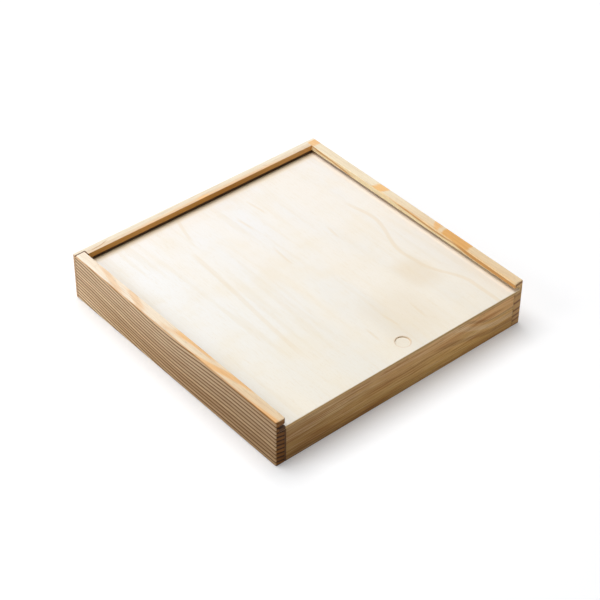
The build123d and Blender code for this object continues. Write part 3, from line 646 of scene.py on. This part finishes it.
# Ludo pawns: turned beech, four of each colour, dipped in gloss lacquer that leaves the
# grain just readable and gathers a little darker in the hollow of the neck.
for place, (colour, lacquer) in enumerate(LUDO_COLOURS.items()):
    low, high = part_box(colour + "_ludo_pawns")
    coat = Finish(colour + "_lacquer", 0.22, specular=0.5, coat=0.6)
    streak = coat.cloud((0.9, 0.9, 12.0), detail=3.0, shift=60.0 + place)
    peel = coat.cloud((1.6, 1.6, 1.6), detail=1.0, shift=place)
    deep = tuple(0.55 * channel for channel in lacquer[:3]) + (1.0,)
    neck_height = (low.z * 0.42 + high.z * 0.58) * MM
    neck = coat.ease(coat.size(coat.less(coat.z, neck_height)), 0.0, 3.0, 0.5, 0.0)
    tone = coat.mix(coat.ease(streak, 0.45, 0.75, 0.0, 0.35), lacquer, deep)
    coat.colour(coat.mix(neck, tone, deep))
    coat.sheen(coat.slide(peel, 0.3, 0.7, 0.16, 0.3))
    coat.relief(coat.sum(peel, coat.times(streak, 0.4)), 0.05)
    dress(colour + "_ludo_pawns", coat)


# Dominoes: double-six set in light beech, lacquered, with the pips and the dividing line
# cut into the face and painted black. Stacked flat in the front left compartment.
domino_low, domino_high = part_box("domino_tiles")
domino_layers = 5
tile_height = (domino_high.z - domino_low.z) * MM / domino_layers
cut_depth = 0.5
domino = turned_wood("domino_beech", tint("e3c699"), tint("cfa671"), tint("9c7344"), 63.0)
tiles_up = domino.over(domino.less(domino.z, domino_low.z * MM), tile_height)
up_tile = domino.times(domino.part(tiles_up), tile_height)
in_cut = domino.below(domino.size(domino.less(up_tile, tile_height - cut_depth)), 0.1)
in_cut = domino.times(in_cut, domino.above(domino.facing[2], 0.8))
domino.colour(domino.mix(in_cut, domino.base(), tint("17130f")))
dress("domino_tiles", domino)


# Playing cards: two packs of fifty-four, each card a thin coated board with round
# corners. Every card is its own sheet, a hair out of line, as a squared pack lies.
CARDS = 54
CARD_SHARE = 0.93
CARD_CORNER = 0.003
CARD_PLAY = 0.0002
CARD_STRAY = 0.00012


def pack_tree(paper):
    """Stack of cards as a node tree, with the pack's sizes as its inputs."""
    tree = bpy.data.node_groups.new("card_pack", "GeometryNodeTree")
    tree.interface.new_socket("Geometry", in_out="OUTPUT", socket_type="NodeSocketGeometry")
    for name in ("Length", "Width", "Corner", "Height", "Cards", "Seed"):
        kind = "NodeSocketInt" if name in ("Cards", "Seed") else "NodeSocketFloat"
        tree.interface.new_socket(name, in_out="INPUT", socket_type=kind)
    node = tree.nodes.new
    link = tree.links.new
    given, out = node("NodeGroupInput"), node("NodeGroupOutput")
    outline = node("GeometryNodeCurvePrimitiveQuadrilateral")
    link(given.outputs["Length"], outline.inputs["Width"])
    link(given.outputs["Width"], outline.inputs["Height"])
    rounded = node("GeometryNodeFilletCurve")
    rounded.mode = "POLY"
    rounded.inputs["Count"].default_value = 4
    link(outline.outputs[0], rounded.inputs["Curve"])
    link(given.outputs["Corner"], rounded.inputs["Radius"])
    sheet = node("GeometryNodeFillCurve")
    sheet.mode = "NGONS"
    link(rounded.outputs[0], sheet.inputs["Curve"])
    pitch = node("ShaderNodeMath")
    pitch.operation = "DIVIDE"
    link(given.outputs["Height"], pitch.inputs[0])
    link(given.outputs["Cards"], pitch.inputs[1])
    thickness = node("ShaderNodeMath")
    thickness.operation = "MULTIPLY"
    thickness.inputs[1].default_value = CARD_SHARE
    link(pitch.outputs[0], thickness.inputs[0])
    card = node("GeometryNodeExtrudeMesh")
    link(sheet.outputs[0], card.inputs["Mesh"])
    link(thickness.outputs[0], card.inputs["Offset Scale"])
    card.inputs["Individual"].default_value = False
    turned = node("GeometryNodeFlipFaces")
    link(sheet.outputs[0], turned.inputs["Mesh"])
    whole = node("GeometryNodeJoinGeometry")
    link(turned.outputs[0], whole.inputs[0])
    link(card.outputs[0], whole.inputs[0])
    merged = node("GeometryNodeMergeByDistance")
    link(whole.outputs[0], merged.inputs["Geometry"])
    merged.inputs["Distance"].default_value = 1e-6
    stack = node("GeometryNodeMeshLine")
    link(given.outputs["Cards"], stack.inputs["Count"])
    rise = node("ShaderNodeCombineXYZ")
    link(pitch.outputs[0], rise.inputs[2])
    link(rise.outputs[0], stack.inputs["Offset"])
    placed = node("GeometryNodeInstanceOnPoints")
    link(stack.outputs[0], placed.inputs["Points"])
    link(merged.outputs[0], placed.inputs["Instance"])
    stray = node("FunctionNodeRandomValue")
    stray.data_type = "FLOAT_VECTOR"
    stray.inputs[0].default_value = (-CARD_STRAY, -CARD_STRAY, 0.0)
    stray.inputs[1].default_value = (CARD_STRAY, CARD_STRAY, 0.0)
    link(given.outputs["Seed"], stray.inputs["Seed"])
    moved = node("GeometryNodeTranslateInstances")
    link(placed.outputs[0], moved.inputs["Instances"])
    link(stray.outputs[0], moved.inputs["Translation"])
    real = node("GeometryNodeRealizeInstances")
    link(moved.outputs[0], real.inputs[0])
    painted = node("GeometryNodeSetMaterial")
    painted.inputs["Material"].default_value = paper
    link(real.outputs[0], painted.inputs["Geometry"])
    link(painted.outputs[0], out.inputs[0])
    return tree


def baked(name, tree, place, values):
    """Plain mesh object from a node tree, with its place in its mesh."""
    holder = bpy.data.objects.new(name, bpy.data.meshes.new(name))
    bpy.context.scene.collection.objects.link(holder)
    maker = holder.modifiers.new("maker", "NODES")
    maker.node_group = tree
    for item in tree.interface.items_tree:
        if item.in_out == "INPUT":
            maker[item.identifier] = values[item.name]
    bpy.context.view_layer.update()
    made = holder.evaluated_get(bpy.context.evaluated_depsgraph_get())
    mesh = bpy.data.meshes.new_from_object(made)
    holder.modifiers.clear()
    holder.data = mesh
    mesh.transform(Matrix.Translation(place))
    return holder


half_length, half_width, line_width = 40.0, 24.5, 1.2
lozenge = 4.2
for seed, colour in enumerate(("blue", "red"), start=1):
    low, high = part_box(colour + "_card_deck")
    middle = (low + high) / 2
    paper = Finish(colour + "_card_back", 0.38, specular=0.45, coat=0.1)
    across = paper.less(paper.x, middle.x * MM)
    along = paper.less(paper.y, middle.y * MM)
    one = paper.part(paper.over(paper.sum(across, along), lozenge))
    two = paper.part(paper.over(paper.less(across, along), lozenge))
    lattice = paper.below(paper.least(one, two), 0.2)
    off_middle = paper.most(paper.size(paper.less(one, 0.6)), paper.size(paper.less(two, 0.6)))
    figure = paper.less(1.0, paper.most(lattice, paper.below(off_middle, 0.13)))
    outward = paper.most(paper.size(across), paper.sum(paper.size(along), half_length - half_width))
    border = paper.above(outward, half_length - line_width)
    inked = paper.times(paper.below(outward, half_length), paper.most(figure, border))
    upper = paper.above(paper.facing[2], 0.9)
    grit = paper.cloud((0.4, 0.4, 0.4), detail=1.0)
    white = paper.mix(paper.ease(grit, 0.3, 0.7), tint("f2efe8"), tint("e6e1d6"))
    paper.colour(paper.mix(paper.times(inked, upper), white, LUDO_COLOURS[colour]))
    paper.relief(grit, 0.01)
    foot = Vector((middle.x, middle.y, low.z))
    deck = baked(colour + "_cards", pack_tree(paper.material), foot, {
        "Length": high.x - low.x - 2 * CARD_PLAY, "Width": high.y - low.y - 2 * CARD_PLAY,
        "Corner": CARD_CORNER, "Height": high.z - low.z, "Cards": CARDS, "Seed": seed})
    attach(deck, "box")
    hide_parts(colour + "_card_deck")


# Dice: five moulded in ivory plastic with round edges, the pips sunk in every face and
# filled with black.
dice_low, dice_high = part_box("dice")
die_size = (dice_high.z - dice_low.z) * MM
dice_count = 5
die_pitch = ((dice_high.y - dice_low.y) * MM - die_size) / (dice_count - 1)
pip_depth = 0.4
dice = Finish("dice_plastic", 0.2, specular=0.5, coat=0.3)
grit = dice.cloud((2.0, 2.0, 2.0), detail=2.0, shift=5.0)
bare = dice.mix(dice.ease(grit, 0.3, 0.7), tint("f3ecd9"), tint("e9dfc6"))
from_x = dice.less(dice.x, (dice_low.x + dice_high.x) / 2 * MM)
from_z = dice.less(dice.z, (dice_low.z + dice_high.z) / 2 * MM)
row_start = dice_low.y * MM + die_size / 2 - die_pitch / 2
along_row = dice.part(dice.over(dice.less(dice.y, row_start), die_pitch))
from_y = dice.times(dice.less(along_row, 0.5), die_pitch)
farthest = dice.most(dice.size(from_x), dice.most(dice.size(from_y), dice.size(from_z)))
from_middle = dice.add("CombineXYZ", from_x, from_y, from_z)
radius = dice.add("VectorMath", from_middle, operation="LENGTH", out="Value")
below_face = dice.below(farthest, die_size / 2 - 0.93 * pip_depth)
sunk = dice.times(below_face, dice.below(radius, 0.66 * die_size))
dice.colour(dice.mix(sunk, bare, tint("141210")))
dice.sheen(dice.slide(grit, 0.3, 0.7, 0.16, 0.26))
dice.relief(grit, 0.01)
dress("dice", dice)


# Pick-up sticks: thin turned beech, pointed at both ends, with painted bands whose
# colours mark their worth. They lie in rows behind the boards.
stick_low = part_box("pick_up_sticks")[0]
sticks = Finish("stick_beech", 0.4, specular=0.45, coat=0.1)
stick = 2.7
row_rise = stick * sqrt(3) / 2
row = sticks.whole(sticks.over(sticks.less(sticks.z, stick_low.z * MM + 0.08), row_rise))
offset = sticks.times(sticks.above(sticks.part(sticks.times(row, 0.5)), 0.25), stick / 2)
from_side = sticks.less(sticks.less(sticks.y, stick_low.y * MM), offset)
column = sticks.whole(sticks.over(from_side, stick))
bundle_place = sticks.add("CombineXYZ", row, column, 3.0)
pick = sticks.add("TexWhiteNoise", bundle_place, noise_dimensions="3D")
paint = sticks.ramp(pick, [
    (0.0, LUDO_COLOURS["red"]), (0.28, LUDO_COLOURS["blue"]), (0.5, LUDO_COLOURS["green"]),
    (0.72, LUDO_COLOURS["yellow"]), (0.95, INK)])
paint.node.color_ramp.interpolation = "CONSTANT"
streak = fibres(sticks, ALONG_X, 20.0, 0.5, 71.0)
wood = sticks.mix(sticks.ease(streak, 0.35, 0.7), tint("ead3a6"), tint("d4b07a"))
outward = sticks.size(sticks.x)
end_bands = sticks.times(sticks.above(outward, 58.0), sticks.below(outward, 70.0))
middle_band = sticks.below(outward, 4.0)
sticks.colour(sticks.mix(sticks.most(end_bands, middle_band), wood, paint))
sticks.sheen(sticks.slide(streak, 0.3, 0.7, 0.34, 0.46))
sticks.relief(streak, 0.03)
dress("pick_up_sticks", sticks)


# Sliding lid: birch plywood that runs in the grooves of the side and back walls and
# lies over the low front wall, with a round recess near its front edge for a finger.
lid_low, lid_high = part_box("sliding_lid")
lid = Finish("lid_birch_ply", 0.5, specular=0.12)
# Painted light falloff: the lid is paler and cooler towards the back left, darker and warmer
# towards the front right.
painted_falloff = lid.slide(lid.less(lid.x, lid.y), -200.0, 260.0)
tone = lid.mix(painted_falloff, tint("efeeee"), tint("e5dfd5"))
figure = fibres(lid, ALONG_Y, 150.0, 9.0, 91.0, detail=1.0)
tone = lid.mix(lid.ease(figure, 0.48, 0.72, 0.0, 0.26), tone, tint("e2d4bc"))
broad = fibres(lid, ALONG_Y, 190.0, 42.0, 81.0, detail=2.0)
blotch = lid.cloud((46.0, 38.0, 50.0), detail=2.0, shift=83.0)
fine = fibres(lid, ALONG_Y, 16.0, 0.8, 85.0)
flecks = fibres(lid, ALONG_Y, 3.6, 0.4, 87.0, detail=1.0)
tone = lid.mix(lid.ease(broad, 0.35, 0.7, 0.0, 0.5), tone, tint("f1e8da"))
tone = lid.mix(lid.ease(blotch, 0.45, 0.75, 0.0, 0.4), tone, tint("ebe0cd"))
honey_lines = (
    (3.0, 0.3, 26.0, (
        (62, 109.5), (20, 115.5), (-40, 99.3), (-61, 101.4), (-113, 119.6), (-180, 119.6))),
    (3.4, 0.2, 30.0, ((100, -56.0), (-100, -69.0))), (2.6, 0.2, 14.0, ((150, -34.0), (96, -45.0))),
    (1.8, 0.25, 12.0, ((106, 11.0), (76, 13.0))), (1.8, 0.25, 12.0, ((122, 36.0), (88, 39.0))),
    (1.9, 0.25, 12.0, ((48, 9.0), (12, 7.0))), (1.9, 0.25, 12.0, ((42, 71.0), (12, 68.0))),
    (1.7, 0.25, 10.0, ((-96, -2.0), (-124, -3.0))), (1.7, 0.25, 10.0, ((-92, 23.0), (-120, 25.0))),
    (1.8, 0.25, 10.0, ((-96, 54.0), (-126, 52.0))))
broad_shades = (
    (22.0, 0.35, 24.0, ((-38, 88.0), (-70, 89.0), (-102, 92.0))),
    (42.0, 0.25, 36.0, ((-56, 36.0), (-100, 38.0), (-160, 34.0))))
tone = strokes(lid, lid.y, lid.x, tone, honey_lines, tint("dfc7a0"))
tone = strokes(lid, lid.y, lid.x, tone, broad_shades, tint("dccaae"))
tone = lid.mix(lid.ease(fine, 0.5, 0.75, 0.0, 0.3), tone, tint("dfcfb2"))
tone = lid.mix(lid.ease(flecks, 0.62, 0.8, 0.0, 0.3), tone, tint("c9ab7d"))
toward_corner = lid.slide(lid.sum(lid.x, lid.y), 120.0, -220.0)
tone = lid.mix(toward_corner, tone, tint("fcfbf5"), "MULTIPLY")
recess_middle, recess_radius = (12.0, -134.0, 0.0), 7.5
flat_place = lid.add("CombineXYZ", lid.x, lid.y, 0.0)
from_recess = lid.add(
    "VectorMath", flat_place, recess_middle, operation="DISTANCE", out="Value")
rim_stain = lid.ease(lid.size(lid.less(from_recess, recess_radius)), 1.0, 0.4, 0.0, 0.3)
tone = lid.mix(rim_stain, tone, tint("c79a63"))
# Painted light: a paler, warmer band along the back edge lifts the shade that the back wall's lip
# casts on the lid.
tone = lid.mix(lid.ease(lid.y, 131.0, 140.0, 0.0, 0.9), tone, tint("fce8c6"))
# Painted light: a near-white band beside the right wall's lip lifts the shade under it.
painted_light_beside_lip = lid.times(lid.ease(lid.x, 134.5, 138.5, 0.0, 0.6), lid.below(lid.x, INNER_EDGE + 1.0))
tone = lid.mix(painted_light_beside_lip, tone, tint("fff2e0"))
level = lid.slide(lid.z, lid_low.z * MM, lid_high.z * MM)
layer = lid.ramp(level, [
    (0.0, tint("d9b47c")), (0.28, tint("d6b077")), (0.32, tint("94703f")), (0.36, tint("c79e65")),
    (0.66, tint("c59b62")), (0.7, tint("9a7443")), (0.74, tint("eccf9c")), (1.0, tint("f5e3c0"))])
layer = lid.mix(lid.ease(flecks, 0.45, 0.8, 0.0, 0.5), layer, tint("9c7d58"))
on_edge = lid.below(lid.size(lid.facing[2]), 0.35)
tone = lid.mix(on_edge, tone, layer)
# Painted shade: the front end of the left tongue and the back strip under the back wall's lip are
# darkened to dark brown.
tongue_end_shade = lid.times(
    lid.below(lid.x, -INNER_EDGE), lid.ease(lid.y, -144.0, -148.0, 0.0, 0.95))
painted_shade_on_tongues = lid.most(tongue_end_shade, lid.ease(lid.y, 140.6, 141.2, 0.0, 0.8))
lid.colour(lid.mix(painted_shade_on_tongues, tone, tint("56361a")))
lid.sheen(lid.slide(fine, 0.3, 0.8, 0.42, 0.58))
lid.relief(lid.sum(fine, lid.times(flecks, -0.5)), 0.03)
dress("sliding_lid", lid)


# Table and light: a plain white table that keeps the box's soft shadow, a large soft lamp
# overhead and a little behind, two weaker ones at the left and the right, and the camera
# that looks down over the front left corner.
PURE_WHITE = (1, 1, 1, 1)
TABLE_HALF = 4
table = bpy.data.meshes.new("table")
corners = [(x * TABLE_HALF, y * TABLE_HALF, 0) for x, y in ((-1, -1), (1, -1), (1, 1), (-1, 1))]
table.from_pydata(corners, [], [(0, 1, 2, 3)])
table_top = bpy.data.objects.new("table", table)
bpy.context.scene.collection.objects.link(table_top)
white = bpy.data.materials.new("table_white")
white.use_nodes = True
nodes, links = white.node_tree.nodes, white.node_tree.links
nodes.remove(nodes["Principled BSDF"])


def shader(nodes, kind, **settings):
    """One shader node with its settings; gives back its output."""
    node = nodes.new("ShaderNode" + kind)
    for name, value in settings.items():
        node.inputs[name].default_value = value
    return node.outputs[0]


def blend(tree, share, first, second):
    """Shader that goes from the first to the second as the share goes from 0 to 1."""
    pick = tree.nodes.new("ShaderNodeMixShader")
    for value, socket in zip((share, first, second), pick.inputs):
        tree.links.new(value, socket)
    return pick.outputs[0]


def seen_or_bare(tree, bare, shown, end):
    """Shows one shader to the camera and to gloss and glass, and another to the rest."""
    path = tree.nodes.new("ShaderNodeLightPath")
    share = path.outputs["Is Camera Ray"]
    for ray in ("Is Glossy Ray", "Is Transmission Ray"):
        most = tree.nodes.new("ShaderNodeMath")
        most.operation = "MAXIMUM"
        tree.links.new(share, most.inputs[0])
        tree.links.new(path.outputs[ray], most.inputs[1])
        share = most.outputs[0]
    tree.links.new(blend(tree, share, bare, shown), end.inputs["Surface"])


bare_table = shader(nodes, "BsdfDiffuse", Color=(0.88, 0.88, 0.88, 1))
shown_table = shader(nodes, "BsdfDiffuse", Color=(0.75, 0.755, 0.765, 1))
lit_table = nodes.new("ShaderNodeAddShader")
links.new(shown_table, lit_table.inputs[0])
links.new(shader(nodes, "Emission", Strength=0.245), lit_table.inputs[1])
from_box = nodes.new("ShaderNodeVectorMath")
from_box.operation = "LENGTH"
links.new(nodes.new("ShaderNodeTexCoord").outputs["Object"], from_box.inputs[0])
far_off = nodes.new("ShaderNodeMapRange")
far_off.interpolation_type = "SMOOTHSTEP"
far_off.inputs["From Min"].default_value = 0.55
far_off.inputs["From Max"].default_value = 1.3
links.new(from_box.outputs["Value"], far_off.inputs["Value"])
far_white = shader(nodes, "Emission", Strength=1.0)
white_table = blend(white.node_tree, far_off.outputs[0], lit_table.outputs[0], far_white)
seen_or_bare(white.node_tree, bare_table, white_table, nodes["Material Output"])
table.materials.append(white)

world = bpy.data.worlds.new("studio")
bpy.context.scene.world = world
world.use_nodes = True
nodes = world.node_tree.nodes
nodes.remove(nodes["Background"])
fill = shader(nodes, "Background", Color=PURE_WHITE, Strength=0.19)
backdrop = shader(nodes, "Background", Color=PURE_WHITE, Strength=1.0)
seen_or_bare(world.node_tree, fill, backdrop, nodes["World Output"])

lamp_aim = Vector((0.0, 0.0, 0.03))
lamps = (
    ("sky_panel", (-0.15, 1.0, 3.2), 2.4, 100.5), ("left_panel", (-2.3, 0.8, 1.5), 1.4, 20.5),
    ("right_panel", (2.3, 1.0, 1.8), 1.4, 8.5))
for name, place, size, power in lamps:
    lamp = bpy.data.lights.new(name, "AREA")
    lamp.shape = "SQUARE"
    lamp.size = size
    lamp.energy = power
    stand = bpy.data.objects.new(name, lamp)
    bpy.context.scene.collection.objects.link(stand)
    stand.location = place
    stand.rotation_euler = (lamp_aim - Vector(place)).to_track_quat("-Z", "Y").to_euler()

eye = Vector((-0.8586, -0.9968, 1.1160))
look_at = Vector((-0.00372, -0.00993, 0.020))
roll = radians(0.74)
backward = (eye - look_at).normalized()
level_right = Vector((0, 0, 1)).cross(backward).normalized()
level_up = backward.cross(level_right)
right = Matrix.Rotation(roll, 3, backward) @ level_right
up = Matrix.Rotation(roll, 3, backward) @ level_up
lens = bpy.data.cameras.new("camera")
lens.lens = 108.31
lens.sensor_width = 36.0
lens.clip_end = 50.0
camera = bpy.data.objects.new("camera", lens)
bpy.context.scene.collection.objects.link(camera)
camera.matrix_world = Matrix.Translation(eye) @ Matrix((right, up, backward)).transposed().to_4x4()
bpy.context.scene.camera = camera
bpy.context.scene.view_settings.view_transform = "Standard"
